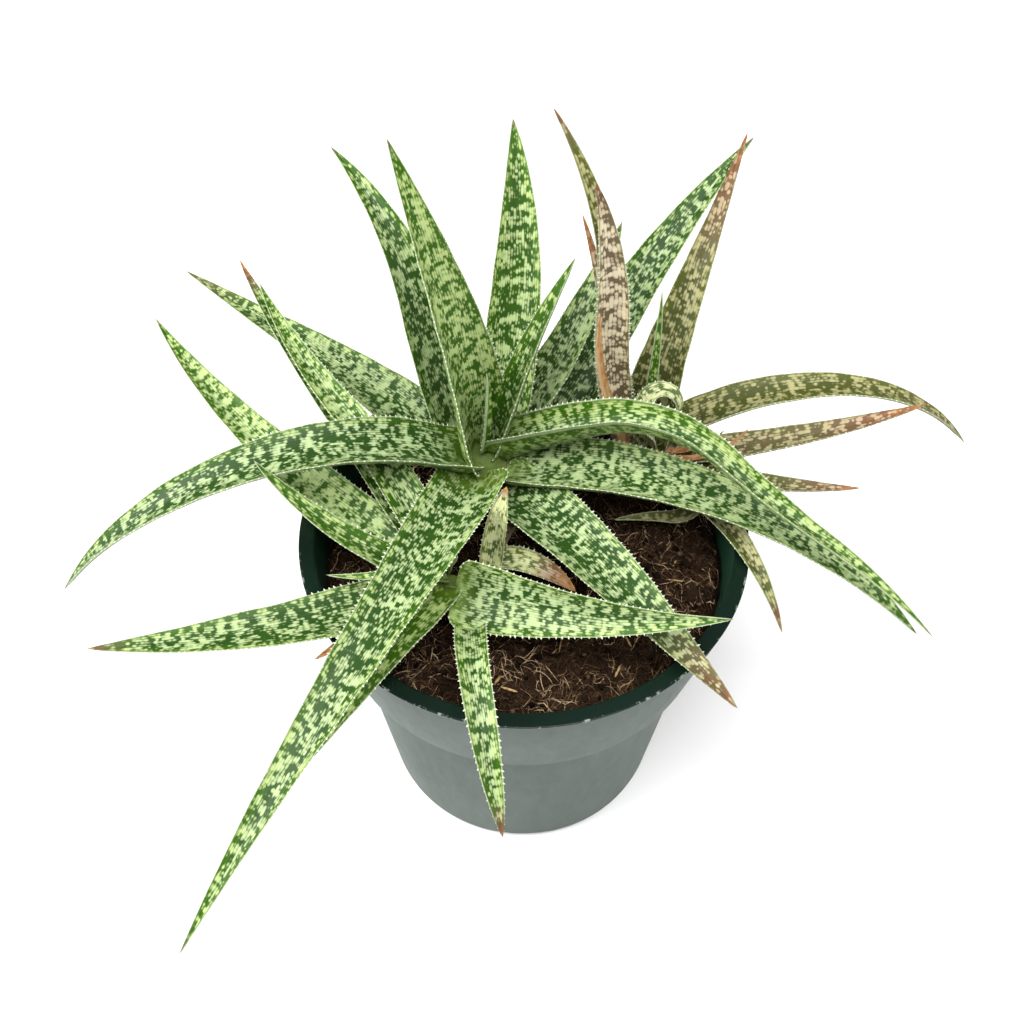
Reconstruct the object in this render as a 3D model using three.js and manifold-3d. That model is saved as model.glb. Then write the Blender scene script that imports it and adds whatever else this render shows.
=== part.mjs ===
// A potted aloe hybrid: four rosettes of long, toothed, spotted leaves in a six-inch nursery pot.
// Millimetres, +Z up, origin at the centre of the pot's underside, -Y towards the front.
import * as THREE from "three";
import { mergeVertices } from "three/addons/utils/BufferGeometryUtils.js";
import Module from "manifold-3d";

const wasm = await Module();
wasm.setup();

// The moulded pot: a tapered cup with a ledge, a flaring collar above it and a thick flat lip
const POT_HEIGHT = 130;
const RIM_RADIUS = 76.2;
const BASE_RADIUS = 52.5;
const WALL = 1.6;
const FLOOR = 2.5;
const LIP_WIDTH = 5.4;
const LIP_ROUNDING = 0.6;
const NECK_RADIUS = 62.5;
const NECK_HEIGHT = 85;
const COLLAR_RADIUS = 66.5;
const COLLAR_FOOT = 87;
const FOOT_ROUNDING = 5;
const FOOT_CHAMFER = 1.5;
const POT_SIDES = 64;

// Drainage notches moulded into the foot of the pot
const NOTCHES = 4;
const NOTCH_WIDTH = 21;
const NOTCH_HEIGHT = 3.4;
const NOTCH_DEPTH = 8;

// The potting mix, and the room kept between pieces that touch
const SOIL_TOP = 117.5;
const SOIL_HEAVE = 1.2;
const SOIL_RINGS = 5;
const SOIL_SIDES = 32;
const GAP = 0.3;

// The four stems: where each stands, its radius, and the heights of its crown and its root end
const STEMS = {
  main: { at: [-14, 26], radius: 8.5, crown: 140, root: 92 },
  front: { at: [-24, -22], radius: 5.5, crown: 130, root: 98 },
  rear: { at: [41, 38], radius: 6.5, crown: 131, root: 96 },
  pup: { at: [-12, -8], radius: 3, crown: 124, root: 104 },
};
const STEM_SIDES = 18;
const STEM_END_SHARE = 0.45;
const COLLAR_DEPTH = 4;

// How every blade is drawn: cross rings along it, its outline, and the sheath at its base
const RING_SPACING = 14;
const FEWEST_RINGS = 5;
const STEPS_PER_RING = 6;
const BASE_SHARE = 0.9;
const WIDEST_AT = 0.22;
const FULLNESS = 1.8;
const TAPER = 0.9;
const FOLD = 0.36;
const SHEATH_END = 0.14;
const SHEATH_FOLD = 0.4;
const THINNEST = 1;

// The white teeth along both margins
const TOOTH_SPACING = 7;
const TOOTH_HEIGHT = 1.2;
const TOOTH_BASE = 1.5;
const TOOTH_LEAN = 0.5;
const SMALLEST_TOOTH = 0.4;
const FULL_TOOTH_HALF = 5;

// Every leaf, from the inside of its rosette outwards. seat is the height where it leaves the
// stem, its distance from the stem's axis and, where that isn't the leaf's own, the compass angle
// of that place. turn is the leaf's compass angle and rise its slope above level, each given at
// even steps from base to tip. size is its length, its width and the thickness of its base. fold
// is the depth of its channel as a share of its half width, and roll turns the blade about its
// own length, both at base and tip. A lower fullness makes a leaf narrow more evenly to its tip.
const LEAVES = {
  main: [
    { name: "heart", seat: [140.5, 0], turn: [-2], rise: [84, 92], size: [38, 7, 2.4] },
    { name: "inner", seat: [137, 3], turn: [28, 32], rise: [77, 59], size: [82, 13, 3.4] },
    {
      name: "tall",
      seat: [136, 4],
      turn: [148, 126],
      rise: [89, 56],
      size: [119, 25.5, 4],
      fold: [0.6],
      fullness: 1.5,
    },
    {
      name: "arching",
      seat: [137, 4, 30],
      turn: [-16, -9, -36, -31, -49],
      rise: [41, 24, -21, -16, -19],
      size: [173, 12, 4.6],
      fold: [1.6, 0.2],
    },
    {
      name: "long_left",
      seat: [136, 5],
      turn: [202, 188],
      rise: [47, -14, -57],
      size: [170, 21.5, 4.6],
    },
    {
      name: "front",
      seat: [134, 6],
      turn: [252, 232],
      rise: [20, -9, -40],
      size: [190, 27, 5],
      fullness: 1,
    },
    {
      name: "broad_right",
      seat: [132, 6],
      turn: [-13, -30],
      rise: [22, -6, -38],
      size: [159, 24, 5],
    },
    {
      name: "back",
      seat: [130, 10],
      turn: [68, 101],
      rise: [62, 50],
      size: [114, 19.5, 4.4],
      fullness: 2.7,
    },
    {
      name: "back_left",
      seat: [132, 5],
      turn: [124, 127, 132],
      rise: [48, 62, 14],
      size: [119, 28, 4.4],
      fullness: 1.2,
    },
    {
      name: "left",
      seat: [127, 6],
      turn: [141, 143],
      rise: [14, 0, 3],
      size: [147, 25, 4.6],
      fullness: 1.2,
    },
    {
      name: "short_right",
      seat: [129, 6],
      turn: [-51, -51],
      rise: [21, -2, -4],
      size: [121, 25, 4.6],
    },
    {
      name: "back_right",
      seat: [125, 13, 20],
      turn: [55, 38],
      rise: [22, 41, 33],
      size: [143, 24, 4.8],
    },
    {
      name: "back_short",
      seat: [129, 12, 70],
      turn: [29, 73],
      rise: [45, 45, 19],
      size: [93, 18, 4],
    },
  ],
  front: [
    { name: "upper_left", seat: [131, 4], turn: [178, 147], rise: [25, 40], size: [72, 11, 3] },
    {
      name: "right",
      seat: [134, 7.1, -71],
      turn: [-20, -15],
      rise: [5, 27],
      size: [92, 25.5, 3.6],
      roll: [36, 68],
      fullness: 0.9,
    },
    {
      name: "low_left",
      seat: [130, 3],
      turn: [-119, -134],
      rise: [24, -15, -34],
      size: [94, 17, 4],
    },
    {
      name: "over_rim",
      seat: [122, 10.3, -46],
      turn: [-91, -80, -71],
      rise: [43, 21, -35, -63],
      size: [92, 10, 3],
      fullness: 3.8,
    },
    {
      name: "level_left",
      seat: [128, 3],
      turn: [212, 181],
      rise: [15, -4],
      size: [115, 20.5, 4],
      fold: [0.25],
    },
    { name: "broad_left", seat: [126, 5], turn: [149, 125], rise: [16, 5, 8], size: [151, 19, 4] },
    {
      name: "back_left",
      seat: [130, 4],
      turn: [119, 131, 114],
      rise: [27, 12, 2],
      size: [133, 14, 3.4],
    },
    {
      name: "dry_tipped",
      seat: [126, 4],
      turn: [127, 125, 114],
      rise: [26, 11, -9],
      size: [158, 11, 2.6],
    },
    {
      name: "small",
      seat: [131, 1, 200],
      turn: [204, 194, 165],
      rise: [53, 8, -11],
      size: [43, 5, 1.6],
    },
    { name: "dry", seat: [124, 4], turn: [213, 230], rise: [8, 20], size: [51, 8, 1.8] },
  ],
  rear: [
    {
      name: "tall",
      seat: [129, 5, 130],
      turn: [171, 144, 137],
      rise: [70, 90, 42],
      size: [133, 12, 3],
      roll: [-50],
    },
    {
      name: "tall_inner",
      seat: [130, 5, -135],
      turn: [178, 125, 162],
      rise: [70, 88, 73],
      size: [113, 11.5, 2.6],
      roll: [-35],
      fullness: 4,
    },
    {
      name: "upright",
      seat: [124, 6.5, 140],
      turn: [119, 127],
      rise: [78, 70, 56],
      size: [91, 8, 2.4],
      roll: [-45],
    },
    {
      name: "bright",
      seat: [131, 3, 40],
      turn: [60, 77, 89],
      rise: [94, 88, 54],
      size: [65, 4.6, 2],
    },
    {
      name: "back_right",
      seat: [128, 4],
      turn: [55, 60, 60],
      rise: [88, 52, 55],
      size: [115, 25.5, 3.6],
      fullness: 0.8,
    },
    {
      name: "curled",
      seat: [131, 6, -80],
      turn: [73, 32, 18, -66],
      rise: [71, 121, 49, -110],
      size: [51, 8.5, 2],
      fold: [0.2],
      fullness: 5,
    },
    {
      name: "right",
      seat: [128, 5, 45],
      turn: [12, -2],
      rise: [37, -2, -55],
      size: [134, 15, 3.4],
    },
    { name: "level_right", seat: [125, 5], turn: [-19, 16], rise: [28, 11], size: [98, 13, 2.6] },
    { name: "low_right", seat: [123, 5], turn: [-40, -2], rise: [25, 5], size: [77, 11.5, 2.2] },
    {
      name: "front_right",
      seat: [123, 5],
      turn: [-53, -63],
      rise: [31, 1, -50],
      size: [86, 11, 2.6],
    },
    {
      name: "low_front",
      seat: [122, 5, -40],
      turn: [-42, -54, -184, -174],
      rise: [17, -7],
      size: [59, 9, 2.4],
    },
    {
      name: "dry_strip",
      seat: [124, 7, -110],
      turn: [196, 188, 123],
      rise: [75, 73, 93],
      size: [80, 5, 1.4],
      roll: [-45],
    },
    {
      name: "dry_upper",
      seat: [132, 5, -60],
      turn: [-39, 37],
      rise: [7, 38],
      size: [40, 2.8, 1.4],
    },
    { name: "dry_lower", seat: [131, 5, -30], turn: [-19, 3], rise: [3, 63], size: [30, 2.6, 1.4] },
  ],
  pup: [
    {
      name: "heart",
      seat: [122, 3, -70],
      turn: [72, 56],
      rise: [72, 66],
      size: [33, 8, 2],
      fullness: 4,
    },
    {
      name: "side",
      seat: [122, 2],
      turn: [-20, -33],
      rise: [38, -26],
      size: [33, 10.5, 2],
      fold: [0.5],
      fullness: 2.4,
    },
    { name: "sheath", seat: [121, 3], turn: [60, 20], rise: [60, 20], size: [16, 8, 1.6] },
  ],
};

const COLOURS = {
  pot: 0x4a5650,
  soil: 0x5d4330,
  stem: 0x8f8a5e,
  main: 0x6f9a4e,
  front: 0x6c9350,
  rear: 0x7c8054,
  pup: 0xa9b878,
  dry: 0xb98a56,
};

const radians = THREE.MathUtils.degToRad;
const between = THREE.MathUtils.lerp;
const ease = (x) => x * x * (3 - 2 * x);

// The value at the share u of a run whose values stand at even steps
function along(values, u) {
  const place = u * (values.length - 1);
  const step = Math.min(Math.floor(place), values.length - 2);
  return values.length === 1 ? values[0] : between(values[step], values[step + 1], place - step);
}

// A closed geometry as a solid that can be joined and cut
function solidOf(geometry) {
  geometry.deleteAttribute("normal");
  geometry.deleteAttribute("uv");
  const merged = mergeVertices(geometry, 1e-4);
  const corners = merged.index.array;
  const faces = [];
  for (let i = 0; i < corners.length; i += 3) {
    const [a, b, c] = corners.slice(i, i + 3);
    if (a !== b && b !== c && c !== a) faces.push(a, b, c);
  }
  return new wasm.Manifold(
    new wasm.Mesh({
      numProp: 3,
      vertProperties: merged.attributes.position.array,
      triVerts: new Uint32Array(faces),
    }),
  );
}

function geometryOf(points, faces) {
  const geometry = new THREE.BufferGeometry().setFromPoints(points);
  geometry.setIndex(faces);
  return geometry;
}

// The named mesh of a finished solid
function meshOf(name, solid, colour, roughness) {
  const { vertProperties, triVerts } = solid.getMesh();
  const geometry = new THREE.BufferGeometry();
  geometry.setAttribute("position", new THREE.BufferAttribute(new Float32Array(vertProperties), 3));
  geometry.setIndex(new THREE.BufferAttribute(new Uint32Array(triVerts), 1));
  geometry.computeVertexNormals();
  const material = new THREE.MeshStandardMaterial({ color: colour, roughness, metalness: 0 });
  material.flatShading = true;
  const mesh = new THREE.Mesh(geometry, material);
  mesh.name = name;
  return mesh;
}

const cutFrom = (solid, cutters) => cutters.reduce((left, cutter) => left.subtract(cutter), solid);

const largestOf = (solid) => solid.decompose().reduce((a, b) => (a.volume() > b.volume() ? a : b));

// A solid turned about the vertical from [radius, height] pairs that start and end on the axis
function turned(profile, sides) {
  const points = profile.map(([radius, height]) => new THREE.Vector2(radius, height));
  const geometry = new THREE.LatheGeometry(points, sides);
  geometry.rotateX(Math.PI / 2);
  return solidOf(geometry);
}

// Radius of the pot's outer wall at a height below its neck
function wallRadius(height) {
  return between(BASE_RADIUS, NECK_RADIUS, height / NECK_HEIGHT);
}

function makePot() {
  const cup = turned(
    [
      [0, 0],
      [BASE_RADIUS - FOOT_ROUNDING, 0],
      [BASE_RADIUS - FOOT_CHAMFER, FOOT_CHAMFER],
      [wallRadius(FOOT_ROUNDING), FOOT_ROUNDING],
      [NECK_RADIUS, NECK_HEIGHT],
      [COLLAR_RADIUS, COLLAR_FOOT],
      [RIM_RADIUS, POT_HEIGHT - LIP_ROUNDING],
      [RIM_RADIUS - LIP_ROUNDING, POT_HEIGHT],
      [RIM_RADIUS - LIP_WIDTH + LIP_ROUNDING, POT_HEIGHT],
      [RIM_RADIUS - LIP_WIDTH, POT_HEIGHT - LIP_ROUNDING],
      [COLLAR_RADIUS - WALL, COLLAR_FOOT + WALL],
      [NECK_RADIUS - WALL, NECK_HEIGHT + WALL],
      [wallRadius(FLOOR) - WALL, FLOOR],
      [0, FLOOR],
    ],
    POT_SIDES,
  );
  const notches = [];
  for (let i = 0; i < NOTCHES; i += 1) {
    const box = new THREE.BoxGeometry(2 * NOTCH_DEPTH, NOTCH_WIDTH, 2 * NOTCH_HEIGHT);
    box.translate(BASE_RADIUS, 0, 0);
    box.rotateZ(-Math.PI / 2 + (i * 2 * Math.PI) / NOTCHES);
    notches.push(solidOf(box));
  }
  return cutFrom(cup, notches);
}

// The stem of a rosette: a tapered root, the leafy stem, and a rounded crown
function makeStem({ at, radius, crown, root }, room = 0) {
  const stem = turned(
    [
      [0, root - room],
      [radius * STEM_END_SHARE + room, root - room],
      [radius + room, SOIL_TOP - COLLAR_DEPTH],
      [radius + room, crown - radius],
      [radius * STEM_END_SHARE + room, crown + room],
      [0, crown + room],
    ],
    STEM_SIDES,
  );
  return stem.translate([at[0], at[1], 0]);
}

// The potting mix fills the pot, with a heaved top and a plain hole for each stem
function makeSoil(stemHoles) {
  const room = WALL + 1.5 * GAP;
  const filled = (SOIL_TOP - COLLAR_FOOT - WALL) / (POT_HEIGHT - COLLAR_FOOT - WALL);
  const rim = between(COLLAR_RADIUS - WALL, RIM_RADIUS - LIP_WIDTH, filled) - 1.5 * GAP;
  const points = [new THREE.Vector3(0, 0, SOIL_TOP)];
  const faces = [];
  const ringPoint = (radius, angle, height) => {
    points.push(new THREE.Vector3(radius * Math.cos(angle), radius * Math.sin(angle), height));
  };
  const angleOf = (side) => (side * 2 * Math.PI) / SOIL_SIDES;
  for (let ring = 1; ring <= SOIL_RINGS; ring += 1) {
    const radius = (rim * ring) / SOIL_RINGS;
    for (let side = 0; side < SOIL_SIDES; side += 1) {
      const heave = Math.sin(side * 2.1 + ring * 1.7) + Math.sin(side * 0.9 - ring * 2.6);
      ringPoint(radius, angleOf(side), SOIL_TOP + (SOIL_HEAVE / 2) * heave);
    }
  }
  for (const [radius, height] of [
    [COLLAR_RADIUS - room, COLLAR_FOOT + WALL + GAP],
    [NECK_RADIUS - room, NECK_HEIGHT + WALL + GAP],
    [wallRadius(FLOOR) - room, FLOOR + GAP],
  ]) {
    for (let side = 0; side < SOIL_SIDES; side += 1) ringPoint(radius, angleOf(side), height);
  }
  points.push(new THREE.Vector3(0, 0, FLOOR + GAP));
  const at = (ring, side) => 1 + (ring - 1) * SOIL_SIDES + (side % SOIL_SIDES);
  const lastRing = SOIL_RINGS + 3;
  for (let side = 0; side < SOIL_SIDES; side += 1) {
    faces.push(0, at(1, side), at(1, side + 1));
    for (let ring = 1; ring < lastRing; ring += 1) {
      faces.push(at(ring, side), at(ring + 1, side), at(ring + 1, side + 1));
      faces.push(at(ring, side), at(ring + 1, side + 1), at(ring, side + 1));
    }
    faces.push(at(lastRing, side), points.length - 1, at(lastRing, side + 1));
  }
  return cutFrom(solidOf(geometryOf(points, faces)), stemHoles);
}

function headingOf(leaf, u) {
  const turn = radians(along(leaf.turn, u));
  const rise = radians(along(leaf.rise, u));
  const flat = Math.cos(rise);
  return new THREE.Vector3(flat * Math.cos(turn), flat * Math.sin(turn), Math.sin(rise));
}

// One cross ring of a leaf at the share u of its length, with its middle at point
function ringOf(leaf, u, point) {
  const [, width, thickness] = leaf.size;
  const turn = radians(along(leaf.turn, u));
  const ahead = headingOf(leaf, u);
  const side = new THREE.Vector3(-Math.sin(turn), Math.cos(turn), 0);
  side.applyAxisAngle(ahead, radians(along(leaf.roll ?? [0], u)));
  const up = ahead.clone().cross(side);
  const opening = between(BASE_SHARE, 1, ease(Math.min(u / WIDEST_AT, 1)));
  const half = (width / 2) * opening * (1 - u ** (leaf.fullness ?? FULLNESS)) ** TAPER;
  const fold = along(leaf.fold ?? [FOLD], u) + SHEATH_FOLD * Math.max(0, 1 - u / SHEATH_END) ** 2;
  const thick = between(thickness, THINNEST, u);
  return { point, ahead, side, up, half, fold, thick };
}

// The cross rings of a leaf, from the stem to its tip
function ringsOf(leaf) {
  const intervals = Math.max(FEWEST_RINGS, Math.round(leaf.size[0] / RING_SPACING));
  const steps = intervals * STEPS_PER_RING;
  const [height, out, compass = leaf.turn[0]] = leaf.seat;
  const [x, y] = leaf.stem.at;
  const around = radians(compass);
  const point = new THREE.Vector3(x + out * Math.cos(around), y + out * Math.sin(around), height);
  const rings = [ringOf(leaf, 0, point.clone())];
  for (let step = 1; step <= steps; step += 1) {
    point.addScaledVector(headingOf(leaf, (step - 0.5) / steps), leaf.size[0] / steps);
    if (step % STEPS_PER_RING === 0) rings.push(ringOf(leaf, step / steps, point.clone()));
  }
  return rings;
}

// A point of a ring: across runs from -1 at the right margin to 1 at the left one, drop is how
// far below the channelled upper face it lies, and beyond how far past a margin it carries on
function pointOn(ring, across, drop = 0, beyond = 0) {
  const reach = ring.half * across + beyond * Math.sign(across);
  const lift = ring.fold * (ring.half * across ** 2 + 1.5 * beyond) - drop;
  return ring.point.clone().addScaledVector(ring.side, reach).addScaledVector(ring.up, lift);
}

// The toothed margin between two rings, as a run of points from the first ring's to the second's
function marginRun(near, far, across, teeth) {
  const [from, to] = [pointOn(near, across), pointOn(far, across)];
  const outward = near.side.clone().multiplyScalar(across).addScaledVector(near.up, 2 * near.fold);
  outward.normalize();
  const along = to.clone().sub(from);
  const length = along.length();
  along.normalize();
  const run = [from];
  for (let i = 0; i < teeth; i += 1) {
    const middle = (length * (i + 0.5)) / teeth;
    const half = between(near.half, far.half, (i + 0.5) / teeth);
    const size = between(SMALLEST_TOOTH, 1, Math.min(1, half / FULL_TOOTH_HALF));
    const foot = (TOOTH_BASE / 2) * size;
    run.push(from.clone().addScaledVector(along, middle - foot));
    const apex = from.clone().addScaledVector(along, middle + TOOTH_LEAN * size);
    run.push(apex.addScaledVector(outward, TOOTH_HEIGHT * size));
    run.push(from.clone().addScaledVector(along, middle + foot));
  }
  run.push(to);
  return run;
}

// A whole leaf: an upper face of four strips, an underside of three, and teeth on both margins.
// With room it is the space that the leaf takes from its neighbours: swollen by that much all
// over, with plain margins that clear its teeth.
function bladeOf(leaf, room = 0) {
  const rings = ringsOf(leaf);
  const last = rings.length - 1;
  const beyond = room > 0 ? room + TOOTH_HEIGHT : 0;
  const points = [];
  const faces = [];
  const add = (point) => points.push(point) - 1;
  const face = (a, b, c) => {
    if (a !== b && b !== c && c !== a) faces.push(a, b, c);
  };
  const turnedFace = (a, b, c) => face(a, c, b);

  // The points of one ring: five across the top and four across the underside
  const sectionOf = (ring) => {
    const put = (across, drop, past) => add(pointOn(ring, across, drop, past));
    const [right, left] = [-1, 1].map((across) => put(across, -room, beyond));
    const low = room > 0 ? [-1, 1].map((across) => put(across, room, beyond)) : [right, left];
    const inner = [-0.5, 0, 0.5].map((across) => put(across, -room, 0));
    const under = [-0.5, 0.5].map((across) => put(across, ring.thick + room, 0));
    return { top: [right, ...inner, left], under: [low[0], ...under, low[1]] };
  };

  // Joins an inner edge of two points to an outer run of points
  const strip = (inner, outer, put) => {
    const middle = Math.floor((outer.length - 1) / 2);
    for (let k = 0; k + 1 < outer.length; k += 1) {
      put(k < middle ? inner[0] : inner[1], outer[k + 1], outer[k]);
    }
    put(inner[0], inner[1], outer[middle]);
  };
  const cap = ({ top, under }, put) => {
    put(top[0], under[1], under[0]);
    put(top[0], top[1], under[1]);
    put(top[1], top[2], under[1]);
    put(top[2], under[2], under[1]);
    put(top[2], top[3], under[2]);
    put(top[3], top[4], under[2]);
    put(top[4], under[3], under[2]);
  };

  rings[0].point.addScaledVector(rings[0].ahead, -room);
  rings[last].point.addScaledVector(rings[last].ahead, room);
  const sections = rings.slice(0, last).map(sectionOf);
  if (room > 0) {
    sections.push(sectionOf(rings[last]));
  } else {
    const tip = add(rings[last].point);
    sections.push({ top: Array(5).fill(tip), under: Array(4).fill(tip) });
  }
  for (let i = 0; i < last; i += 1) {
    const [near, far] = [sections[i], sections[i + 1]];
    const gap = rings[i].point.distanceTo(rings[i + 1].point);
    const teeth = i === 0 || room > 0 ? 0 : Math.max(1, Math.round(gap / TOOTH_SPACING));
    const toothed = (across, from, to) => {
      const run = marginRun(rings[i], rings[i + 1], across, teeth);
      return [from, ...run.slice(1, -1).map(add), to];
    };
    const left = toothed(1, near.top[4], far.top[4]);
    const right = toothed(-1, near.top[0], far.top[0]);
    const lowLeft = room > 0 ? [near.under[3], far.under[3]] : left;
    const lowRight = room > 0 ? [near.under[0], far.under[0]] : right;
    strip([near.top[3], far.top[3]], left, face);
    strip([near.top[1], far.top[1]], right, turnedFace);
    strip([near.top[2], far.top[2]], [near.top[3], far.top[3]], face);
    strip([near.top[2], far.top[2]], [near.top[1], far.top[1]], turnedFace);
    strip([near.under[2], far.under[2]], lowLeft, turnedFace);
    strip([near.under[1], far.under[1]], lowRight, face);
    strip([near.under[1], far.under[1]], [near.under[2], far.under[2]], turnedFace);
    if (room > 0) {
      strip(left, lowLeft, face);
      strip(right, lowRight, turnedFace);
    }
  }
  cap(sections[0], face);
  if (room > 0) cap(sections[last], turnedFace);
  return solidOf(geometryOf(points, faces));
}

// The whole plant in its pot
const plant = new THREE.Group();
plant.add(meshOf("pot", makePot(), COLOURS.pot, 0.5));
const stemRooms = Object.values(STEMS).map((stem) => makeStem(stem, GAP));
plant.add(meshOf("soil", makeSoil(stemRooms), COLOURS.soil, 0.95));

const taken = [...stemRooms];
for (const [rosette, leaves] of Object.entries(LEAVES)) {
  const branch = new THREE.Group();
  branch.add(meshOf(rosette + "_stem", makeStem(STEMS[rosette]), COLOURS.stem, 0.8));
  for (const row of leaves) {
    const leaf = { ...row, stem: STEMS[rosette] };
    const blade = largestOf(cutFrom(bladeOf(leaf), taken));
    const colour = row.name.startsWith("dry") ? COLOURS.dry : COLOURS[rosette];
    branch.add(meshOf(rosette + "_" + row.name + "_leaf", blade, colour, 0.5));
    taken.push(bladeOf(leaf, GAP));
  }
  plant.add(branch);
}

export default plant;
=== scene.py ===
import functools
import itertools
import math
import random
from types import SimpleNamespace

import bpy
import numpy as np
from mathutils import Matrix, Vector, noise


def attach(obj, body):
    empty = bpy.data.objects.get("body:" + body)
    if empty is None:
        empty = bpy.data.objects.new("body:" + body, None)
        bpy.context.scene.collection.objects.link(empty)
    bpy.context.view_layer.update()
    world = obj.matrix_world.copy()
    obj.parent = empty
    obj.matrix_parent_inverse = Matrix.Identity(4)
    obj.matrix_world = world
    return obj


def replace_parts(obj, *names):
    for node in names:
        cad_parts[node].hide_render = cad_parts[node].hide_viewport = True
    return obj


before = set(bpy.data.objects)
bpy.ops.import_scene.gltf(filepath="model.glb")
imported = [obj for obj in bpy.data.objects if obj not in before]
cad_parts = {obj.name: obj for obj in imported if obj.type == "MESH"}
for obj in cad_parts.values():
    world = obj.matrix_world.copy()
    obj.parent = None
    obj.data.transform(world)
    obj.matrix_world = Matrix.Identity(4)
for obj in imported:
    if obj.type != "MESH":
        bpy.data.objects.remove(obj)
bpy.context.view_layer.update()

# ------------------------------------------------------------------------------------- the pot
# A six-inch nursery pot, injection moulded in thin dark green plastic: a tapered cup with a
# ledge, a flaring collar above it, a flat lip, two small nubs of the mould on its wall and four
# drainage notches in its foot. It stands on the floor and holds all the rest.

MM = 0.001
POT_HEIGHT, RIM_RADIUS, BASE_RADIUS, WALL, FLOOR = 130.0, 76.2, 52.5, 1.6, 2.5
NECK_RADIUS, NECK_HEIGHT, COLLAR_RADIUS, COLLAR_FOOT = 62.5, 85.0, 66.5, 87.0
LIP_WIDTH, FOOT_ROUNDING = 5.4, 4.5
NOTCHES, NOTCH_WIDTH, NOTCH_HEIGHT, NOTCH_DEPTH, NOTCH_ROUNDING = 4, 21.0, 3.4, 8.0, 1.2
NUB_PLACES = [(-113.2, 104.1), (-70.0, 97.8)]  # each nub's compass angle and height
NUB_WIDTH, NUB_HEIGHT, NUB_RISE = 1.6, 1.4, 0.7
POT_SIDES, POT_CREASE = 240, 32


def seen(red, green, blue):
    """A colour as it looks on a screen, each channel 0 to 255, made ready for a shader."""
    shares = [channel / 255 for channel in (red, green, blue)]
    return tuple(s / 12.92 if s < 0.04 else ((s + 0.055) / 1.055) ** 2.4 for s in shares) + (1.0,)


def feed(tree, socket, value):
    """Gives a socket its value, or wires another socket into it."""
    if isinstance(value, bpy.types.NodeSocket):
        tree.links.new(value, socket)
    else:
        socket.default_value = value


def put(tree, kind, feeds=None, **settings):
    """Adds a shader node with its settings and feeds."""
    node = tree.nodes.new("ShaderNode" + kind)
    for setting, value in settings.items():
        setattr(node, setting, value)
    for socket, value in (feeds or {}).items():
        feed(tree, node.inputs[socket], value)
    return node


def reckon(tree, operation, *values):
    """One step of arithmetic."""
    node = put(tree, "Math", operation=operation)
    for socket, value in zip(node.inputs, values):
        feed(tree, socket, value)
    return node.outputs[0]


def times(tree, *values):
    return functools.reduce(functools.partial(reckon, tree, "MULTIPLY"), values)


def plus(tree, *values):
    return functools.reduce(functools.partial(reckon, tree, "ADD"), values)


def slope(tree, value, start, end, low=0.0, high=1.0):
    """Eases from low to high while the value goes from start to end."""
    node = put(tree, "MapRange", {"Value": value}, interpolation_type="SMOOTHSTEP")
    for socket, number in zip(("From Min", "From Max", "To Min", "To Max"), (start, end, low, high)):
        feed(tree, node.inputs[socket], number)
    return node.outputs[0]


def mixed(tree, share, first, second):
    """A colour that goes from the first to the second as the share goes from 0 to 1."""
    node = put(tree, "Mix", data_type="RGBA")
    for place, value in ((0, share), (6, first), (7, second)):
        feed(tree, node.inputs[place], value)
    return node.outputs[2]


def grain(tree, vector, size, detail=2.0, roughness=0.5):
    """Cloudy noise, 0 to 1, whose lumps are about the given size along each axis."""
    stretched = put(tree, "VectorMath", {0: vector}, operation="MULTIPLY")
    stretched.inputs[1].default_value = [1 / step for step in size]
    feeds = {"Vector": stretched.outputs[0], "Scale": 1.0, "Detail": detail, "Roughness": roughness}
    return put(tree, "TexNoise", feeds).outputs[0]


def new_material(name):
    """A material with its tree and its shader."""
    material = bpy.data.materials.new(name)
    material.use_nodes = True
    return material, material.node_tree, material.node_tree.nodes["Principled BSDF"]


def piece_of(name, points, faces, material, smooth_angle=None):
    """A smooth-shaded mesh object from points in millimetres."""
    mesh = bpy.data.meshes.new(name)
    mesh.from_pydata((np.asarray(points, float) * MM).tolist(), [], faces)
    mesh.validate()
    mesh.shade_smooth()
    if smooth_angle:
        mesh.set_sharp_from_angle(angle=math.radians(smooth_angle))
    mesh.materials.append(material)
    piece = bpy.data.objects.new(name, mesh)
    bpy.context.scene.collection.objects.link(piece)
    return piece


def stands_for(piece, node):
    """Tells the frame what a piece rides on and the node that it replaces."""
    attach(piece, "root")
    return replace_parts(piece, node) if node else piece


def filleted(corners, bends):
    """A profile of [radius, height] corners, each rounded by about its own bend."""
    profile = [corners[0]]
    for before, here, after, bend in zip(corners, corners[1:], corners[2:], bends[1:]):
        here = Vector(here)
        ways = [Vector(end) - here for end in (before, after)]
        reach = [way.normalized() * min(bend, way.length * 0.48) for way in ways]
        start, end = here + reach[0], here + reach[1]
        for share in (0, 0.2, 0.4, 0.6, 0.8, 1) if bend else (0,):
            profile.append(start.lerp(here, share).lerp(here.lerp(end, share), share)[:])
    return profile + [corners[-1]]


def turned(profile, sides):
    """Points and faces of a profile that starts and ends on the axis, turned about it."""
    angles = np.arange(sides) * 2 * math.pi / sides
    rings = [np.c_[r * np.cos(angles), r * np.sin(angles), np.full(sides, z)] for r, z in profile[1:-1]]
    points = np.vstack([[[0, 0, profile[0][1]]], *rings, [[0, 0, profile[-1][1]]]])
    last = len(points) - 1
    faces = []
    for side in range(sides):
        after = (side + 1) % sides
        faces.append((0, 1 + after, 1 + side))
        for ring in range(len(rings) - 1):
            low, high = 1 + ring * sides, 1 + (ring + 1) * sides
            faces.append((low + side, low + after, high + after, high + side))
        faces.append((last, last - sides + side, last - sides + after))
    return points, faces


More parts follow.
